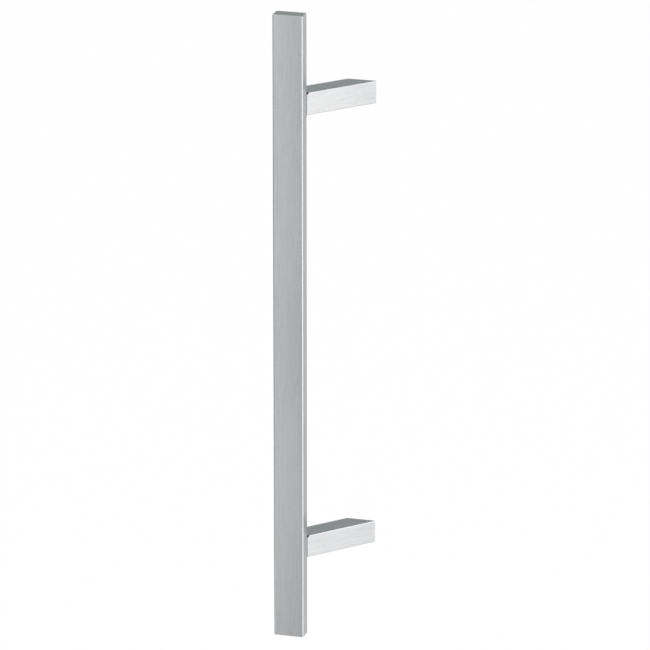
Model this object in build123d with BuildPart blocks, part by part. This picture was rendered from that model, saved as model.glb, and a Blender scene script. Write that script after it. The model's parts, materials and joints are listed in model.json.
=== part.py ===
from build123d import *

import os
from math import hypot, radians, tan

# Offset door pull handle: a rectangular grip tube on two square supports that run back to the door
# at an angle. All sizes are in millimetres.
# +Z is up along the grip. The door's face is the plane Y = 0, with the door behind it, and the grip
# faces -Y. The origin lies on the door's face, midway between the two fixing points, and the grip
# stands off to the -X side of them.

# Grip tube
grip_length = 840.0
grip_width = 40.0
grip_depth = 20.0
grip_wall = 1.5
grip_corner_radius = 2.0
grip_inner_radius = 0.5
grip_end_break = 0.5

# End plugs: a face flush with the tube's end, and a skirt that reaches into the tube
plug_face = 3.0
plug_reach = 12.0
plug_wall = 2.0
plug_clearance = 0.05

# Supports: square bar, mitred at both ends
fixing_centres = 600.0
hand_clearance = 80.0
side_offset = 70.0
support_side = 30.0
support_corner_radius = 1.5
support_edge_break = 0.5

# M8 threads, drawn as plain bores and studs at the thread's full radius
thread_radius = 4.0
thread_clearance = 0.05
door_thread_depth = 14.0
grip_thread_depth = 13.0
thread_mouth = 0.4
drill_point_angle = 118.0
stud_end_gap = 0.5
stud_end_chamfer = 0.8
stud_socket_across_flats = 4.0
stud_socket_depth = 5.0

# Backing blocks inside the tube
block_depth = 10.0
block_height = 30.0
block_side_gap = 0.3
block_corner_chamfer = 1.0
stud_hole_clearance = 0.25

# Places that follow from the sizes above
grip_x = -side_offset
grip_back = -hand_clearance
grip_middle = grip_back - grip_depth / 2
back_wall_inside = grip_back - grip_wall
block_front = back_wall_inside - block_depth
bore_width = grip_width - 2 * grip_wall
bore_depth = grip_depth - 2 * grip_wall
fixing_heights = {"upper": fixing_centres / 2, "lower": -fixing_centres / 2}
end_ways = {"upper": 1, "lower": -1}
support_run = hypot(side_offset, hand_clearance)
mitre_reach = support_side * side_offset / hand_clearance

os.makedirs("parts", exist_ok=True)


def keep(piece, name):
    """Names a finished piece and writes it."""
    piece.part.label = name
    export_step(piece.part, f"parts/{name}.step")


def grip_plane(height):
    """A level plane across the grip, centred on it."""
    return Plane(origin=(grip_x, grip_middle, height), x_dir=(1, 0, 0), z_dir=(0, 0, 1))


def back_facing_plane(x, y, height):
    """An upright plane that faces the door."""
    return Plane(origin=(x, y, height), x_dir=(-1, 0, 0), z_dir=(0, 1, 0))


def cut_tapped_bore(x, y, height, way, depth):
    """Cuts a blind tapped bore with a drilled point from its mouth at (x, y, height) along way * Y."""
    drill_point = thread_radius / tan(radians(drill_point_angle / 2))
    with BuildSketch(Plane(origin=(x, y, height), x_dir=(1, 0, 0), z_dir=(0, 0, way))) as half_bore:
        with BuildLine():
            Polyline(
                (0, 0),
                (thread_radius + thread_mouth, 0),
                (thread_radius, thread_mouth),
                (thread_radius, depth),
                (0, depth + drill_point),
                close=True,
            )
        make_face()
    revolve(half_bore.sketch, axis=Axis((x, y, height), (0, 1, 0)), mode=Mode.SUBTRACT)


# Grip tube, with a clearance hole for each stud in its back wall
with BuildPart() as grip_tube:
    with BuildSketch(grip_plane(-grip_length / 2)):
        RectangleRounded(grip_width, grip_depth, grip_corner_radius)
        RectangleRounded(bore_width, bore_depth, grip_inner_radius, mode=Mode.SUBTRACT)
    extrude(amount=grip_length)
    tube_ends = grip_tube.faces().filter_by(Axis.Z)
    chamfer([edge for end in tube_ends for edge in end.outer_wire().edges()], grip_end_break)
    with Locations(*(back_facing_plane(grip_x, grip_back, z) for z in fixing_heights.values())):
        Hole(thread_radius + stud_hole_clearance, depth=2 * grip_wall)
keep(grip_tube, "grip_tube")

# End plugs
for level, way in end_ways.items():
    outer_width = bore_width - 2 * plug_clearance
    outer_depth = bore_depth - 2 * plug_clearance
    inner_width = outer_width - 2 * plug_wall
    inner_depth = outer_depth - 2 * plug_wall
    with BuildPart() as end_plug:
        with BuildSketch(grip_plane(way * grip_length / 2)):
            RectangleRounded(outer_width, outer_depth, grip_inner_radius)
        extrude(amount=-way * plug_reach)
        with BuildSketch(grip_plane(way * (grip_length / 2 - plug_face))):
            RectangleRounded(inner_width, inner_depth, grip_inner_radius)
        extrude(amount=-way * (plug_reach - plug_face), mode=Mode.SUBTRACT)
    keep(end_plug, f"{level}_end_plug")

for level, height in fixing_heights.items():
    # Support: the square bar is cut off by the grip's back face and by the door's face
    bar_plane = Plane(
        origin=(grip_x, grip_back, height),
        x_dir=(hand_clearance, -side_offset, 0),
        z_dir=(side_offset, hand_clearance, 0),
    )
    with BuildPart() as support:
        with BuildSketch(bar_plane.offset(-mitre_reach)):
            RectangleRounded(support_side, support_side, support_corner_radius)
        extrude(amount=support_run + 2 * mitre_reach)
        split(bisect_by=Plane(origin=(0, grip_back, 0), z_dir=(0, 1, 0)))
        split(bisect_by=Plane(origin=(0, 0, 0), z_dir=(0, -1, 0)))
        mitres = support.faces().filter_by(Axis.Y)
        chamfer(mitres.edges(), support_edge_break)
        cut_tapped_bore(0, 0, height, -1, door_thread_depth)
        cut_tapped_bore(grip_x, grip_back, height, 1, grip_thread_depth)
    keep(support, f"{level}_support")

    # Backing block, tapped right through, flat against the inside of the tube's back wall
    with BuildPart() as backing_block:
        with BuildSketch(back_facing_plane(grip_x, block_front, height)):
            Rectangle(bore_width - 2 * block_side_gap, block_height)
        extrude(amount=block_depth)
        chamfer(backing_block.edges().filter_by(Axis.Z), block_corner_chamfer)
        with Locations(back_facing_plane(grip_x, back_wall_inside, height)):
            Hole(thread_radius, depth=block_depth)
    keep(backing_block, f"{level}_backing_block")

    # Stud, from the block's front through the tube's wall into the support, with a hexagon socket
    # in its front end for the key that drives it
    with BuildPart() as stud:
        with BuildSketch(back_facing_plane(grip_x, block_front, height)):
            Circle(thread_radius - thread_clearance)
        extrude(amount=block_depth + grip_wall + grip_thread_depth - stud_end_gap)
        chamfer(stud.edges().filter_by(GeomType.CIRCLE), stud_end_chamfer)
        with BuildSketch(back_facing_plane(grip_x, block_front, height)):
            RegularPolygon(stud_socket_across_flats / 2, 6, major_radius=False)
        extrude(amount=stud_socket_depth, mode=Mode.SUBTRACT)
    keep(stud, f"{level}_stud")
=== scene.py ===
import json
import math

import bpy
import numpy as np
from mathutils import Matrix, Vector


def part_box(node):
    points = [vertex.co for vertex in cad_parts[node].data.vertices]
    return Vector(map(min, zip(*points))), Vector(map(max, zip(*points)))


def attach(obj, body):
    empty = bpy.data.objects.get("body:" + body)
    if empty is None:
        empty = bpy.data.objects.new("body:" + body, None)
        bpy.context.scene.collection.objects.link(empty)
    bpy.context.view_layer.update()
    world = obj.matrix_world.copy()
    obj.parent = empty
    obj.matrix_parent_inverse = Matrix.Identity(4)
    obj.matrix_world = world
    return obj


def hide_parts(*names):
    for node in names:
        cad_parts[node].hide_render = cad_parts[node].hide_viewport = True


bl_info = {
    "name": "Offset door pull handle",
    "version": (1, 0, 0),
    "blender": (4, 5, 0),
    "location": "3D View > Sidebar > Pull Handle",
    "description": "Finishes an offset door pull handle in satin steel, on its packed model",
    "category": "Object",
}

# The frame comes first, because places and sizes below are read from it.
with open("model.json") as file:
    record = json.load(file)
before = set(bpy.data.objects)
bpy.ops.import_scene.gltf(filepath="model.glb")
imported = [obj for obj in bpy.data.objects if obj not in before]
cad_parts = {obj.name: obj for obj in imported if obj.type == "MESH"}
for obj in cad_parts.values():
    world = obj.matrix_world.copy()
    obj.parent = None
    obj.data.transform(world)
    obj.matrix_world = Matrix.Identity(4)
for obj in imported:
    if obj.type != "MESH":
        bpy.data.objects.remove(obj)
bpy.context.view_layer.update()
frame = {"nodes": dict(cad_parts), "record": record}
NODES = frame["nodes"]
MOUNTS = {mount["name"]: mount for mount in frame["record"]["mounts"]}

MM = 0.001
LEVELS = ("upper", "lower")

# The picture that the camera is set for: its side in pixels, the camera's sensor in millimetres,
# and the point on the door's plane that lies in the picture's middle
PHOTO_SIDE = 650
SENSOR_WIDTH = 36.0
PICTURE_CENTRE = (-0.0493, 0.0, -0.0206)

# Brushed steel: the length of a line on an end, as a share of its length elsewhere, and the depth of
# the grain
END_GRAIN_LENGTH = 0.3
GRAIN_DEPTH = 0.04 * MM

# A polished edge, painted lighter than the steel as a highlight, and a crevice, painted darker as shade,
# beside the rest: a tone of 1 is the steel's own colour. The edge is also smoother and the crevice rougher.
POLISH_HIGHLIGHT_TONE = 1.5
POLISHED_SMOOTHER = 0.13
CREVICE_SHADE = 0.97
CREVICE_ROUGHER = 0.2

# Cut steel: the depth of the tool marks, and how many marks and clouds of them lie on a metre
MARK_DEPTH = 0.05 * MM
MARKS_PER_METRE = 2500.0
CLOUDS_PER_METRE = 300.0

# A 60 degree thread is 0.5413 of its pitch deep.
THREAD_DEPTH = 0.5413

SHARP_ANGLE = math.radians(35)
WHITE = (1.0, 1.0, 1.0, 1.0)


# Settings that a user would change


class SteelSettings(bpy.types.PropertyGroup):
    """Finish of the satin steel and of the machined steel."""

    colour: bpy.props.FloatVectorProperty(
        name="Steel colour",
        description="Colour that the satin steel reflects",
        subtype="COLOR",
        size=3,
        min=0.0,
        max=1.0,
        default=(0.562, 0.569, 0.581),
    )
    machined_colour: bpy.props.FloatVectorProperty(
        name="Machined colour",
        description="Colour that the hidden machined steel reflects",
        subtype="COLOR",
        size=3,
        min=0.0,
        max=1.0,
        default=(0.46, 0.465, 0.472),
    )
    roughness: bpy.props.FloatProperty(
        name="Roughness",
        description="Roughness of the satin finish",
        min=0.05,
        max=1.0,
        default=0.32,
    )
    grain_width: bpy.props.FloatProperty(
        name="Grain width",
        description="Width of one line of the brushed grain",
        unit="LENGTH",
        precision=5,
        min=0.0001,
        default=0.0004,
    )
    grain_length: bpy.props.FloatProperty(
        name="Grain length",
        description="Length of one line of the brushed grain",
        unit="LENGTH",
        min=0.005,
        default=0.07,
    )
    # The band along an edge is polished smoother, and its colour is also painted lighter as a highlight.
    edge_width: bpy.props.FloatProperty(
        name="Polished edge",
        description="Width of the band that grinding has polished along an edge",
        unit="LENGTH",
        precision=5,
        min=0.0001,
        default=0.0024,
    )


class ThreadSettings(bpy.types.PropertyGroup):
    """Shape of the threads."""

    pitch: bpy.props.FloatProperty(
        name="Pitch",
        description="Distance from one thread to the next",
        unit="LENGTH",
        precision=5,
        min=0.0004,
        default=0.00125,
    )
    clearance: bpy.props.FloatProperty(
        name="Clearance",
        description="Gap between the flanks of a stud's thread and of the thread that it turns in",
        unit="LENGTH",
        precision=5,
        min=0.0,
        default=0.00004,
    )
    steps_around: bpy.props.IntProperty(
        name="Steps around",
        description="Faces round a thread, a multiple of 12 so that a hexagon's corners are sharp",
        min=12,
        step=12,
        default=48,
    )
    steps_per_pitch: bpy.props.IntProperty(
        name="Steps per pitch",
        description="Faces along one pitch",
        min=6,
        default=12,
    )


class StageSettings(bpy.types.PropertyGroup):
    """Floor, light and camera."""

    floor_drop: bpy.props.FloatProperty(
        name="Floor drop",
        description="Height of the handle's middle above the floor, as on a door",
        unit="LENGTH",
        min=0.45,
        default=1.05,
    )
    ambient: bpy.props.FloatProperty(
        name="Ambient light",
        description="Level of the even light that the room gives",
        min=0.0,
        default=1.0,
    )
    azimuth: bpy.props.FloatProperty(
        name="Azimuth",
        description="Turn of the camera to the right of the grip's face",
        subtype="ANGLE",
        default=math.radians(16.16),
    )
    elevation: bpy.props.FloatProperty(
        name="Elevation",
        description="Height of the camera above the level of the handle's middle",
        subtype="ANGLE",
        default=math.radians(18.14),
    )
    distance: bpy.props.FloatProperty(
        name="Distance",
        description="Distance from the camera to the handle",
        unit="LENGTH",
        min=1.0,
        default=7.0,
    )
    scale: bpy.props.FloatProperty(
        name="Pixels per metre",
        description="Size of the handle in the picture, at the camera's distance",
        min=1.0,
        default=767.1,
    )


# Shader maths


class Wire:
    """An output socket. Python's operators on wires add Math nodes."""

    def __init__(self, graph, socket):
        self.graph = graph
        self.socket = socket

    def math(self, operation, *values):
        return self.graph.node("ShaderNodeMath", {"operation": operation}, dict(enumerate((self, *values))))

    def __add__(self, other):
        return self.math("ADD", other)

    __radd__ = __add__

    def __sub__(self, other):
        return self.math("SUBTRACT", other)

    def __rsub__(self, other):
        return self * -1.0 + other

    def __mul__(self, other):
        return self.math("MULTIPLY", other)

    __rmul__ = __mul__

    def __abs__(self):
        return self.math("ABSOLUTE")

    def lesser(self, other):
        return self.math("MINIMUM", other)

    def greater(self, other):
        return self.math("MAXIMUM", other)


class Graph:
    """A node tree, with one method that adds a node to it and short names for the common ones."""

    def __init__(self, tree):
        self.tree = tree
        tree.nodes.clear()

    def node(self, kind, settings=None, inputs=None, output=0):
        """Adds a node: its settings first, then its sockets' values or links, by name or number."""
        made = self.tree.nodes.new(kind)
        for name, value in (settings or {}).items():
            setattr(made, name, value)
        for key, value in (inputs or {}).items():
            if isinstance(value, Wire):
                self.tree.links.new(value.socket, made.inputs[key])
            else:
                made.inputs[key].default_value = value
        return Wire(self, made.outputs[output]) if made.outputs else made

    def point(self):
        return self.node("ShaderNodeTexCoord", output="Object")

    def normal(self):
        return self.node("ShaderNodeTexCoord", output="Normal")

    def dot(self, vector, direction):
        settings = {"operation": "DOT_PRODUCT"}
        return self.node("ShaderNodeVectorMath", settings, {0: vector, 1: tuple(direction)}, "Value")

    def vector(self, x, y, z):
        return self.node("ShaderNodeCombineXYZ", None, {0: x, 1: y, 2: z})

    def mix_vector(self, factor, first, second):
        """Mixes two vectors. A Mix node takes them at inputs 4 and 5 and gives one at output 1."""
        return self.node("ShaderNodeMix", {"data_type": "VECTOR"}, {0: factor, 4: first, 5: second}, 1)

    def scaled(self, vector, factor):
        """A colour or vector times a number."""
        return self.node("ShaderNodeVectorMath", {"operation": "SCALE"}, {0: vector, "Scale": factor})

    def ramp(self, value, low, high):
        """0 below low and 1 above high, smooth between."""
        inputs = {"Value": value, "From Min": low, "From Max": high, "To Min": 0.0, "To Max": 1.0}
        return self.node("ShaderNodeMapRange", {"interpolation_type": "SMOOTHSTEP"}, inputs)

    def noise(self, vector, detail=2.0, roughness=0.55):
        inputs = {"Vector": vector, "Scale": 1.0, "Detail": detail, "Roughness": roughness}
        return self.node("ShaderNodeTexNoise", {"noise_dimensions": "3D"}, inputs)


def new_material(name):
    """A material with an empty node tree, and its graph."""
    material = bpy.data.materials.new(name)
    material.use_nodes = True
    return material, Graph(material.node_tree)


class Lay:
    """The direction of a grain: along its lines, and the two directions across them."""

    def __init__(self, along, across):
        self.along = Vector(along).normalized()
        self.across = Vector(across).normalized()
        self.up = self.along.cross(self.across)

    def stretch(self, graph, point, width, length, seed):
        """The point in units of a line's length along the grain and of its width across it."""
        along = graph.dot(point, self.along / length) + seed
        return graph.vector(along, graph.dot(point, self.across / width), graph.dot(point, self.up / width))


def finish_metal(graph, base, rough, relief, strength, depth):
    """Joins a metal's colour, roughness and relief to the output of its material."""
    bump = graph.node("ShaderNodeBump", None, {"Height": relief, "Strength": strength, "Distance": depth})
    inputs = {"Base Color": base, "Metallic": 1.0, "Roughness": rough, "Normal": bump}
    shader = graph.node("ShaderNodeBsdfPrincipled", None, inputs)
    graph.node("ShaderNodeOutputMaterial", None, {"Surface": shader})


def brushed_steel(name, colour, roughness, lay, end_normal=None, end_lay=None, edges=None, crevice=None):
    """Satin steel with its grain along lay, and along end_lay on the faces that end_normal points out of.
    edges gives the mask of the polished edges, which are smoother and also painted lighter as a highlight,
    from the graph and the point. The crevice mask is a line of painted shade in a joint, which is also made
    rougher, as no brush reaches it."""
    steel = bpy.context.scene.pull_handle_steel
    material, graph = new_material(name)
    point = graph.point()
    on_end = None
    if end_normal is not None:
        # An end is a face whose normal lies within about 30 degrees of end_normal's line.
        on_end = graph.ramp(abs(graph.dot(graph.normal(), end_normal)), 0.8, 0.9)

    def grain(widths, lengths, seed, detail=2.0):
        """Noise in lines, as many grain widths wide and grain lengths long. Lines on an end are
        shorter, and each seed gives lines of their own."""
        width, length = widths * steel.grain_width, lengths * steel.grain_length
        lines = lay.stretch(graph, point, width, length, seed)
        if on_end is not None:
            end_lines = end_lay.stretch(graph, point, width, END_GRAIN_LENGTH * length, seed)
            lines = graph.mix_vector(on_end, lines, end_lines)
        return graph.noise(lines, detail)

    fine = grain(widths=1.0, lengths=1.0, seed=3.0)
    coarse = grain(widths=4.5, lengths=0.4, seed=17.0)
    band = grain(widths=60.0, lengths=9.0, seed=29.0, detail=1.0)
    fleck = grain(widths=2.5, lengths=0.04, seed=53.0, detail=1.0)
    # Scratches are few, because they lie only where their noise is near its highest.
    scratch = graph.ramp(grain(widths=1.2, lengths=0.4, seed=41.0, detail=0.0), 0.7, 0.8)
    # A noise is 0.5 on average, so the tone is about 1 and the roughness about the one asked for.
    tone = 0.56 + 0.16 * fine + 0.30 * coarse + 0.14 * band + 0.30 * fleck - 0.05 * scratch
    rough = roughness - 0.15 + 0.14 * fine + 0.08 * coarse + 0.08 * band
    relief = fine + 0.8 * coarse - 0.6 * scratch
    # Polished edges are smoother, and their colour is painted lighter as a highlight.
    if edges is not None:
        polish_and_highlight = edges(graph, point)
        tone = tone + (POLISH_HIGHLIGHT_TONE - tone) * polish_and_highlight
        rough = rough - POLISHED_SMOOTHER * polish_and_highlight
    # A crevice's colour is painted darker as shade, and it is made rougher.
    if crevice is not None:
        painted_shade = crevice(graph, point)
        tone = tone * (1.0 - CREVICE_SHADE * painted_shade)
        rough = rough + CREVICE_ROUGHER * painted_shade
    base = graph.scaled(tuple(colour), tone)
    finish_metal(graph, base, rough, relief, strength=0.25, depth=GRAIN_DEPTH)
    return material


def cut_steel(name, colour, roughness):
    """Steel as a tap or a lathe leaves it: small tool marks with no one direction."""
    material, graph = new_material(name)
    marks = graph.noise(graph.scaled(graph.point(), MARKS_PER_METRE))
    cloud = graph.noise(graph.scaled(graph.point(), CLOUDS_PER_METRE))
    base = graph.scaled(tuple(colour), 0.72 + 0.3 * marks + 0.22 * cloud)
    rough = roughness - 0.1 + 0.2 * cloud
    finish_metal(graph, base, rough, marks, strength=0.3, depth=MARK_DEPTH)
    return material


def dress(node, material):
    """Gives a CAD node its material."""
    for slot in NODES[node].material_slots:
        slot.material = material


# Surfaces worked out with numpy


def link_mesh(name, vertices, faces):
    """An object in the scene, smooth but for its sharp edges. Its vertices are in the handle's frame."""
    mesh = bpy.data.meshes.new(name)
    mesh.from_pydata(vertices.tolist(), [], faces)
    mesh.shade_smooth()
    mesh.set_sharp_from_angle(angle=SHARP_ANGLE)
    made = bpy.data.objects.new(name, mesh)
    bpy.context.scene.collection.objects.link(made)
    return made


def quads_between(rows, columns, loops):
    """Faces of a grid whose columns close round. With loops the last row also joins the first."""
    row = np.arange(rows if loops else rows - 1)[:, None]
    column = np.arange(columns)[None, :]
    ahead = (column + 1) % columns
    below = (row + 1) % rows
    row, below = row * columns, below * columns
    corners = (row + column, row + ahead, below + ahead, below + column)
    return np.stack(corners, axis=-1).reshape(-1, 4).tolist()


def ring_surface(name, points):
    """A closed ring: a grid, rows by columns, that closes both ways round."""
    rows, columns, _ = points.shape
    return link_mesh(name, points.reshape(-1, 3), quads_between(rows, columns, True))


def capped_surface(name, points):
    """A closed body: a grid whose columns close round, with its first and last rows each closed by
    a fan to the point at their middle."""
    rows, columns, _ = points.shape
    vertices = np.vstack([points.reshape(-1, 3), points[0].mean(0), points[-1].mean(0)])
    ring = np.arange(columns)
    ahead = (ring + 1) % columns
    last_row = (rows - 1) * columns
    start = np.stack([np.full(columns, rows * columns), ahead, ring], axis=-1)
    end = np.stack([np.full(columns, rows * columns + 1), last_row + ring, last_row + ahead], axis=-1)
    return link_mesh(name, vertices, quads_between(rows, columns, False) + start.tolist() + end.tolist())


def thread_wave(along, angle, pitch):
    """Height of a 60 degree thread, 0 at its root and 1 at its crest: a trapezoid wave of the place
    along the axis in pitches, less the part of a turn. The crest is 1/8 of a pitch wide and the
    root 1/4, with straight flanks between."""
    phase = (along / pitch - angle / (2 * np.pi)) % 1.0
    return np.clip((3 / 8 - np.abs(phase - 0.5)) / (5 / 16), 0.0, 1.0)


def round_points(axis, along, radius, angle):
    """Points round an axis that runs along Y: x is the radius times the sine of the angle and z the
    radius times its cosine, from the axis's own x and z."""
    x = axis[0] + radius * np.sin(angle)
    z = axis[1] + radius * np.cos(angle)
    return np.stack([x, np.broadcast_to(along, x.shape), z], axis=-1)


def turn(steps):
    """The angles of one turn, as a row."""
    return np.linspace(0.0, 2 * np.pi, steps, endpoint=False)[None, :]


def places_along(start, end, thread):
    """The places along a thread from start to end, as a column."""
    steps = int((end - start) / thread.pitch * thread.steps_per_pitch)
    return np.linspace(start, end, steps)[:, None]


def run_out(along, pitch):
    """1 along a thread, falling straight to 0 over the last half pitch at both ends."""
    from_end = np.minimum(along - along[0], along[-1] - along)
    return np.clip(from_end / (0.5 * pitch), 0.0, 1.0)


def tapped_sleeve(name, axis, start, end, radius):
    """The inside of a tapped hole from y = start to y = end: a thin sleeve whose outer wall lies
    just inside the drilled wall. Its inner wall is the thread: the radius less the thread's depth
    times the ridge, which is 1 less the wave, times the run-out."""
    thread = bpy.context.scene.pull_handle_thread
    skin = 0.02 * MM
    angle = turn(thread.steps_around)
    along = places_along(start, end, thread)
    ridge = (1.0 - thread_wave(along, angle, thread.pitch)) * run_out(along, thread.pitch)
    depth = THREAD_DEPTH * thread.pitch
    inner = round_points(axis, along, radius - 2 * skin - depth * ridge, angle)
    outer = round_points(axis, along, np.full_like(ridge, radius - skin), angle)
    return ring_surface(name, np.vstack([outer, inner[::-1]]))


def hexagon_radius(angle, across_flats):
    """Distance from the middle of a hexagon to its side: half the width across its flats, over the
    cosine of the angle from the nearest flat's middle."""
    from_flat = (angle + np.pi / 6) % (np.pi / 3) - np.pi / 6
    return 0.5 * across_flats / np.cos(from_flat)


def threaded_stud(name, axis, start, end, radius, across_flats, socket_depth):
    """A grub screw from y = start to y = end, as one profile turned round its axis: from the cone
    at the floor of its hexagon socket out to its rim, down its thread and round its far end. The
    thread is the root's radius plus the thread's depth times the wave, times the run-out."""
    thread = bpy.context.scene.pull_handle_thread
    angle = turn(thread.steps_around)
    depth = THREAD_DEPTH * thread.pitch
    root = radius - thread.clearance - depth
    chamfer = depth + thread.clearance
    edge_break = 0.3 * MM
    # The socket's mouth is chamfered a little past its corners, and a drill left a cone at its floor.
    mouth_depth = 0.4 * MM
    mouth_margin = 0.1 * MM
    cone_depth = 0.4 * MM
    # The innermost ring of each end, as a share of the radius there
    cone_tip, end_ring = 0.05, 0.3
    hexagon = hexagon_radius(angle, across_flats)
    rim = np.full_like(hexagon, root)
    socket_rim = np.full_like(hexagon, across_flats / math.sqrt(3) + mouth_margin)
    floor = start + socket_depth
    along = places_along(start + chamfer, end - chamfer, thread)
    flank = root + depth * thread_wave(along, angle, thread.pitch) * run_out(along, thread.pitch)
    head = [
        round_points(axis, floor + cone_depth, cone_tip * hexagon, angle),
        round_points(axis, floor, hexagon, angle),
        round_points(axis, start + mouth_depth, hexagon, angle),
        round_points(axis, start, socket_rim, angle),
        round_points(axis, start, rim - edge_break, angle),
        round_points(axis, start + edge_break, rim, angle),
    ]
    tail = [
        round_points(axis, end - edge_break, rim, angle),
        round_points(axis, end, rim - edge_break, angle),
        round_points(axis, end, end_ring * rim, angle),
    ]
    return capped_surface(name, np.vstack([*head, round_points(axis, along, flank, angle), *tail]))


# The handle's pieces


def near_edge(graph, first, second, width):
    """1 on an edge where two faces meet, from the distances to both, and 0 a width away from it."""
    return 1.0 - graph.ramp(first + second, 0.0, width)


class PULLHANDLE_OT_finish_grip(bpy.types.Operator):
    """Gives the grip tube and its end plugs their brushed steel"""

    bl_idname = "pull_handle.finish_grip"
    bl_label = "Finish grip"

    # A line of painted shade in the joint beside a support, also rougher: how dark it is, how far in front
    # of the grip's back it starts and is full, and how softly it stops at the support's top and bottom
    line_shade = 0.85
    line_start, line_full = 1.4 * MM, 0.5 * MM
    line_fade = 0.4 * MM

    def execute(self, context):
        steel = context.scene.pull_handle_steel
        low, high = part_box("grip_tube")
        middle = (low + high) / 2
        half = (high - low) / 2
        support_low, support_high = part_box("upper_support")
        support_middle = (support_low.z + support_high.z) / 2
        support_half = (support_high.z - support_low.z) / 2

        # Polished bands along the grip's long edges, also painted lighter as a highlight.
        def grip_edges(graph, point):
            x = half.x - abs(graph.dot(point, (1, 0, 0)) - middle.x)
            y = half.y - abs(graph.dot(point, (0, 1, 0)) - middle.y)
            return near_edge(graph, x, y, steel.edge_width)

        # The line of painted shade in the grip's back corners beside each support.
        def joint_shade(graph, point):
            from_middle = abs(abs(graph.dot(point, (0, 0, 1))) - support_middle)
            stop_low, stop_high = support_half - self.line_fade, support_half + self.line_fade
            beside = 1.0 - graph.ramp(from_middle, stop_low, stop_high)
            y = graph.dot(point, (0, 1, 0))
            back = graph.ramp(y, high.y - self.line_start, high.y - self.line_full)
            return self.line_shade * beside * back

        upright = Lay((0, 0, 1), (1, 0, 0))
        level = Lay((1, 0, 0), (0, 1, 0))
        satin = brushed_steel(
            "satin_grip",
            steel.colour,
            steel.roughness,
            upright,
            end_normal=(0, 0, 1),
            end_lay=level,
            edges=grip_edges,
            crevice=joint_shade,
        )
        dress("grip_tube", satin)
        ground = brushed_steel("ground_ends", steel.colour, steel.roughness, level)
        for way in LEVELS:
            dress(f"{way}_end_plug", ground)
        return {"FINISHED"}


class PULLHANDLE_OT_finish_supports(bpy.types.Operator):
    """Gives the two supports their brushed steel, with the grain along their run"""

    bl_idname = "pull_handle.finish_supports"
    bl_label = "Finish supports"

    # The polished bands, which are also painted lighter as a highlight, as shares of the polished edge's
    # width
    long_edge_share, short_edge_share = 0.8, 0.5
    # The line of painted shade against the grip, also rougher: how dark it is, and where it is full and
    # where it ends
    line_shade = 0.7
    line_full, line_end = 0.2 * MM, 0.5 * MM
    # The painted shadow at the line's upper corners, as the sum of the distances from the three faces
    notch_full, notch_end = 2.8 * MM, 3.8 * MM

    def execute(self, context):
        steel = context.scene.pull_handle_steel
        grip_low, grip_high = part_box("grip_tube")
        low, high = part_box("upper_support")
        # A bar runs from the middle of the grip's back to the fixing point at x = y = 0.
        run = Vector((-(grip_low.x + grip_high.x) / 2, -grip_high.y, 0)).normalized()
        across = Vector((run.y, -run.x, 0))
        height = (low.z + high.z) / 2
        half_side = (high.z - low.z) / 2

        def place_on_bar(graph, point):
            """Distance in from the nearer side, height above the bar's middle, and y."""
            side = half_side - abs(graph.dot(point, across))
            up = graph.dot(point, (0, 0, 1))
            return side, up - height * up.math("SIGN"), graph.dot(point, (0, 1, 0))

        # Polished bands along the supports' edges, also painted lighter as a highlight.
        def support_edges(graph, point):
            side, above_middle, y = place_on_bar(graph, point)
            z = half_side - abs(above_middle)
            end = (y * -1.0).lesser(y - low.y)
            long_edge = near_edge(graph, side, z, self.long_edge_share * steel.edge_width)
            short_edge = near_edge(graph, end, side.lesser(z), self.short_edge_share * steel.edge_width)
            # Edges that look down are not polished, so only the edges that look up or sideways carry the
            # painted highlight.
            not_below = graph.ramp(graph.dot(graph.normal(), (0, 0, 1)), -0.3, 0.0)
            return long_edge.greater(short_edge) * not_below

        # The line of painted shade against the grip, with painted shadow at its upper corners.
        def joint_shade(graph, point):
            side, above_middle, y = place_on_bar(graph, point)
            line = 1.0 - graph.ramp(y - low.y, self.line_full, self.line_end)
            from_corner = y - low.y + side + (half_side - above_middle)
            notch = 1.0 - graph.ramp(from_corner, self.notch_full, self.notch_end)
            return (self.line_shade * line).greater(notch)

        satin = brushed_steel(
            "satin_supports",
            steel.colour,
            steel.roughness,
            Lay(run, across),
            end_normal=(0, 1, 0),
            end_lay=Lay((1, 0, 0), (0, 0, 1)),
            edges=support_edges,
            crevice=joint_shade,
        )
        for way in LEVELS:
            dress(f"{way}_support", satin)
        return {"FINISHED"}


class PULLHANDLE_OT_finish_blocks(bpy.types.Operator):
    """Gives the backing blocks inside the grip their milled steel and their thread"""

    bl_idname = "pull_handle.finish_blocks"
    bl_label = "Finish backing blocks"

    milled_roughness = 0.36
    tapped_roughness = 0.34
    thread_inset = 0.1 * MM

    def execute(self, context):
        colour = context.scene.pull_handle_steel.machined_colour
        milled = brushed_steel("milled_blocks", colour, self.milled_roughness, Lay((1, 0, 0), (0, 0, 1)))
        tapped = cut_steel("tapped_blocks", colour, self.tapped_roughness)
        for way in LEVELS:
            dress(f"{way}_backing_block", milled)
            low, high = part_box(f"{way}_backing_block")
            middle = (low + high) / 2
            # A block has the same thread as the door end of a support.
            radius = MOUNTS[f"{way}_door_thread"]["dims"]["r_mm"] * MM
            start, end = low.y + self.thread_inset, high.y - self.thread_inset
            piece = tapped_sleeve(f"{way}_block_thread", (middle.x, middle.z), start, end, radius)
            piece.data.materials.append(tapped)
            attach(piece, "root")
        return {"FINISHED"}


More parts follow.
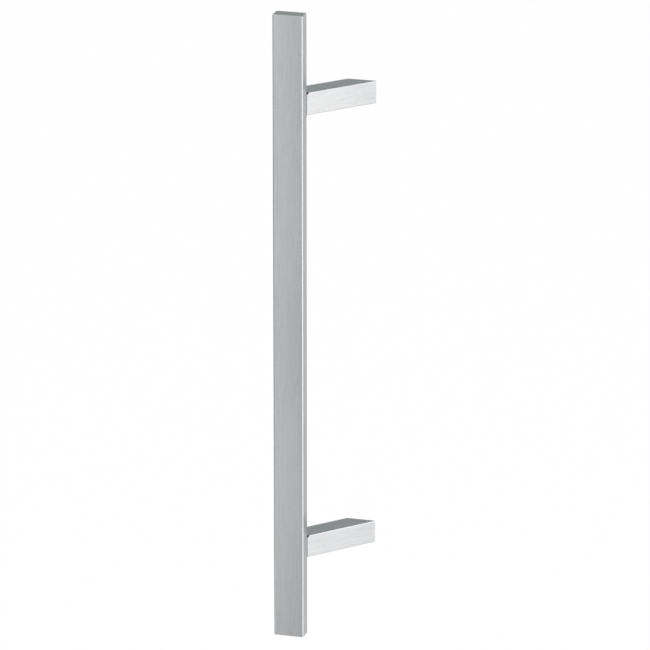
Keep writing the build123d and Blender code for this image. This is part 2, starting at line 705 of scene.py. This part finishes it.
class PULLHANDLE_OT_make_studs(bpy.types.Operator):
    """Cuts the studs that draw the supports against the grip, with their threads and sockets"""

    bl_idname = "pull_handle.make_studs"
    bl_label = "Make studs"

    across_flats = 4.0 * MM
    socket_depth = 4.6 * MM
    roughness = 0.3

    def execute(self, context):
        colour = context.scene.pull_handle_steel.machined_colour
        rolled = cut_steel("rolled_studs", colour, self.roughness)
        for way in LEVELS:
            low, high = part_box(f"{way}_stud")
            middle = (low + high) / 2
            piece = threaded_stud(
                f"{way}_threaded_stud",
                (middle.x, middle.z),
                low.y,
                high.y,
                (high.z - low.z) / 2,
                self.across_flats,
                self.socket_depth,
            )
            piece.data.materials.append(rolled)
            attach(piece, "root")
            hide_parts(f"{way}_stud")
        return {"FINISHED"}


class PULLHANDLE_OT_cut_support_threads(bpy.types.Operator):
    """Cuts the threads in both ends of each support, for the door's bolt and for the stud"""

    bl_idname = "pull_handle.cut_support_threads"
    bl_label = "Cut support threads"

    # Depth of the countersunk mouth, before the thread begins
    mouth_depth = 0.4 * MM
    roughness = 0.3

    def execute(self, context):
        colour = context.scene.pull_handle_steel.colour
        tapped = cut_steel("tapped_supports", colour, self.roughness)
        for way in LEVELS:
            mount = MOUNTS[f"{way}_door_thread"]
            radius = mount["dims"]["r_mm"] * MM
            half_length = mount["dims"]["length_mm"] * MM / 2
            x, y, z = mount["pos_m"]
            bore_end, door_mouth = y - half_length, y + half_length
            door_thread = tapped_sleeve(f"{way}_door_thread", (x, z), bore_end, door_mouth, radius)
            support_low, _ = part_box(f"{way}_support")
            block_low, block_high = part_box(f"{way}_backing_block")
            _, stud_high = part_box(f"{way}_stud")
            grip_axis = ((block_low.x + block_high.x) / 2, (block_low.z + block_high.z) / 2)
            grip_mouth = support_low.y + self.mouth_depth
            grip_thread = tapped_sleeve(f"{way}_grip_thread", grip_axis, grip_mouth, stud_high.y, radius)
            for piece in (door_thread, grip_thread):
                piece.data.materials.append(tapped)
                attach(piece, "root")
        return {"FINISHED"}


# Stage


def background_rays(graph):
    """1 for camera, mirror and glass rays, which see the plain white background, else 0."""
    camera = graph.node("ShaderNodeLightPath", output="Is Camera Ray")
    glossy = graph.node("ShaderNodeLightPath", output="Is Glossy Ray")
    glass = graph.node("ShaderNodeLightPath", output="Is Transmission Ray")
    return camera.greater(glossy).greater(glass)


def make_world(scene, stage):
    """An even room: white behind the object and in its reflections, and a plain level elsewhere."""
    world = bpy.data.worlds.new("studio")
    world.use_nodes = True
    scene.world = world
    graph = Graph(world.node_tree)
    level = stage.ambient + (1.0 - stage.ambient) * background_rays(graph)
    shade = graph.node("ShaderNodeBackground", None, {"Color": WHITE, "Strength": level})
    graph.node("ShaderNodeOutputWorld", None, {"Surface": shade})


def flat_sheet(name, centre, first, second, count=9):
    """A flat sheet, a grid of count by count points: its centre plus every share from -1 to 1 of
    two half sides. Its face looks the way of the first side crossed with the second."""
    share = np.linspace(-1.0, 1.0, count)
    points = (
        np.array(centre)
        + share[:, None, None] * np.array(first)
        + share[None, :, None] * np.array(second)
    )
    corner = np.arange(count - 1)[:, None] * count + np.arange(count - 1)[None, :]
    faces = np.stack([corner, corner + count, corner + count + 1, corner + 1], axis=-1)
    sheet = link_mesh(name, points.reshape(-1, 3), faces.reshape(-1, 4).tolist())
    return sheet


def make_floor(stage):
    """A pale floor, white to the camera but for the handle's faint shadow, and clear from below."""
    half_side = 25.0
    shadow_share = 0.15
    centre = (0.0, 0.0, -stage.floor_drop)
    floor = flat_sheet("floor", centre, (half_side, 0.0, 0.0), (0.0, half_side, 0.0))
    material, graph = new_material("pale_floor")
    pale = graph.node("ShaderNodeBsdfDiffuse", None, {"Color": (0.96, 0.96, 0.96, 1.0)})
    white = graph.node("ShaderNodeEmission", None, {"Color": WHITE, "Strength": 1.0})
    plain = background_rays(graph) * (1.0 - shadow_share)
    lit = graph.node("ShaderNodeMixShader", None, {0: plain, 1: pale, 2: white})
    clear = graph.node("ShaderNodeBsdfTransparent")
    underneath = graph.node("ShaderNodeNewGeometry", output="Backfacing")
    surface = graph.node("ShaderNodeMixShader", None, {0: underneath, 1: lit, 2: clear})
    graph.node("ShaderNodeOutputMaterial", None, {"Surface": surface})
    floor.data.materials.append(material)


def flag_cloth(name, level, colour=WHITE):
    """Cloth that shows one level in a reflection, whatever the lamps do."""
    material, graph = new_material(name)
    shade = graph.node("ShaderNodeEmission", None, {"Color": colour, "Strength": level})
    graph.node("ShaderNodeOutputMaterial", None, {"Surface": shade})
    return material


def make_flags():
    """Studio flags that only reflections see, each with its cloth, its centre and two half sides."""
    dark = flag_cloth("dark_cloth", 0.15)
    cool = flag_cloth("cool_cloth", 0.27, (0.885, 1.0, 0.985, 1.0))
    grey = flag_cloth("grey_cloth", 0.45)
    pale = flag_cloth("pale_cloth", 0.68)
    bright = flag_cloth("bright_cloth", 1.3)
    flags = (
        # Darkens the faces that look up, and gives them a cool tint
        ("overhead_flag", cool, (-2.6, 4.4, 2.1), (0.0, 3.6, 0.0), (3.8, 0.0, 0.0)),
        # Make the tone of the grip's front fall off across it, and dip a little in its middle
        ("front_flag", grey, (0.006, -0.35, -0.08), (0.0, 0.0, 0.52), (0.12, 0.015, 0.0)),
        ("middle_flag", grey, (-0.122, -0.366, -0.11), (0.0, 0.0, 0.08), (0.008, 0.001, 0.0)),
        # Draws the grip's left edge
        ("left_flag", dark, (-1.6, -0.15, -0.2), (0.0, 0.0, 0.9), (0.0, -1.35, 0.0)),
        # Set the tone of the grip's right side. The second, brighter than white, also lights its
        # edge and the supports that the side reflects.
        ("back_flag", pale, (0.45, 1.3, -0.5), (0.0, 0.0, 0.7), (-0.6, 0.0, 0.0)),
        ("side_flag", bright, (1.46, 1.19, -0.3), (0.0, 0.0, 0.72), (-0.34, 0.41, 0.0)),
        # Darkens the foot of the grip's front
        ("floor_flag", dark, (-0.3, -0.97, -1.03), (0.4, 0.0, 0.0), (0.0, 0.28, 0.0)),
        # Darkens the faces that look up where they are seen from behind
        ("high_flag", dark, (2.0, -2.1, 1.2), (0.0, 0.0, 0.65), (0.6, 0.6, 0.0)),
    )
    for name, cloth, centre, first, second in flags:
        flag = flat_sheet(name, centre, first, second)
        flag.data.materials.append(cloth)
        flag.visible_camera = False
        flag.visible_diffuse = False
        flag.visible_shadow = False


def make_lamp(name, place, target, width, height, level, colour):
    """A softbox. Its level is its brightness, where 1 is as bright as the white background."""
    data = bpy.data.lights.new(name, "AREA")
    data.shape = "RECTANGLE"
    data.size = width
    data.size_y = height
    data.energy = level * math.pi * width * height
    data.color = colour
    lamp = bpy.data.objects.new(name, data)
    lamp.location = place
    lamp.rotation_mode = "QUATERNION"
    lamp.rotation_quaternion = (Vector(target) - Vector(place)).to_track_quat("-Z", "Y")
    lamp.visible_camera = False
    bpy.context.scene.collection.objects.link(lamp)


def make_camera(scene, stage):
    """Turns and raises the camera about the point that the picture is centred on."""
    data = bpy.data.cameras.new("camera")
    data.sensor_width = SENSOR_WIDTH
    data.lens = stage.scale * stage.distance / PHOTO_SIDE * SENSOR_WIDTH
    data.clip_end = 100.0
    camera = bpy.data.objects.new("camera", data)
    level = math.cos(stage.elevation)
    back = Vector(
        (
            math.sin(stage.azimuth) * level,
            -math.cos(stage.azimuth) * level,
            math.sin(stage.elevation),
        )
    )
    camera.location = Vector(PICTURE_CENTRE) + back * stage.distance
    camera.rotation_mode = "QUATERNION"
    camera.rotation_quaternion = (-back).to_track_quat("-Z", "Y")
    scene.collection.objects.link(camera)
    scene.camera = camera


class PULLHANDLE_OT_make_stage(bpy.types.Operator):
    """Makes the floor, the light and the camera"""

    bl_idname = "pull_handle.make_stage"
    bl_label = "Make stage"

    def execute(self, context):
        stage = context.scene.pull_handle_stage
        context.scene.view_settings.view_transform = "Standard"
        make_world(context.scene, stage)
        make_floor(stage)
        make_flags()
        # The right one is warm, and lights the faces of the supports that look at the camera.
        make_lamp(
            "right_softbox",
            place=(1.3, -0.65, -0.05),
            target=(-0.07, -0.1, -0.05),
            width=0.9,
            height=1.9,
            level=0.88,
            colour=(1.0, 0.975, 0.94),
        )
        make_lamp(
            "top_softbox",
            place=(0.6, -1.5, 2.6),
            target=(0.0, 0.0, 0.0),
            width=1.2,
            height=1.2,
            level=0.7,
            colour=WHITE[:3],
        )
        make_camera(context.scene, stage)
        return {"FINISHED"}


class PULLHANDLE_PT_panel(bpy.types.Panel):
    """Lists the handle's settings and pieces"""

    bl_label = "Pull Handle"
    bl_idname = "PULLHANDLE_PT_panel"
    bl_space_type = "VIEW_3D"
    bl_region_type = "UI"
    bl_category = "Pull Handle"

    def draw(self, context):
        for group, settings in SETTINGS.items():
            box = self.layout.box()
            for name in settings.__annotations__:
                box.prop(getattr(context.scene, group), name)
        for operator in OPERATORS:
            self.layout.operator(operator.bl_idname)


SETTINGS = {
    "pull_handle_steel": SteelSettings,
    "pull_handle_thread": ThreadSettings,
    "pull_handle_stage": StageSettings,
}
OPERATORS = (
    PULLHANDLE_OT_finish_grip,
    PULLHANDLE_OT_finish_supports,
    PULLHANDLE_OT_finish_blocks,
    PULLHANDLE_OT_make_studs,
    PULLHANDLE_OT_cut_support_threads,
    PULLHANDLE_OT_make_stage,
)
CLASSES = (*SETTINGS.values(), *OPERATORS, PULLHANDLE_PT_panel)


def register():
    for item in CLASSES:
        bpy.utils.register_class(item)
    for name, settings in SETTINGS.items():
        setattr(bpy.types.Scene, name, bpy.props.PointerProperty(type=settings))


def unregister():
    for name in SETTINGS:
        delattr(bpy.types.Scene, name)
    for item in reversed(CLASSES):
        bpy.utils.unregister_class(item)


def main():
    register()
    bpy.ops.pull_handle.finish_grip()
    bpy.ops.pull_handle.finish_supports()
    bpy.ops.pull_handle.finish_blocks()
    bpy.ops.pull_handle.make_studs()
    bpy.ops.pull_handle.cut_support_threads()
    bpy.ops.pull_handle.make_stage()


if __name__ == "__main__":
    main()
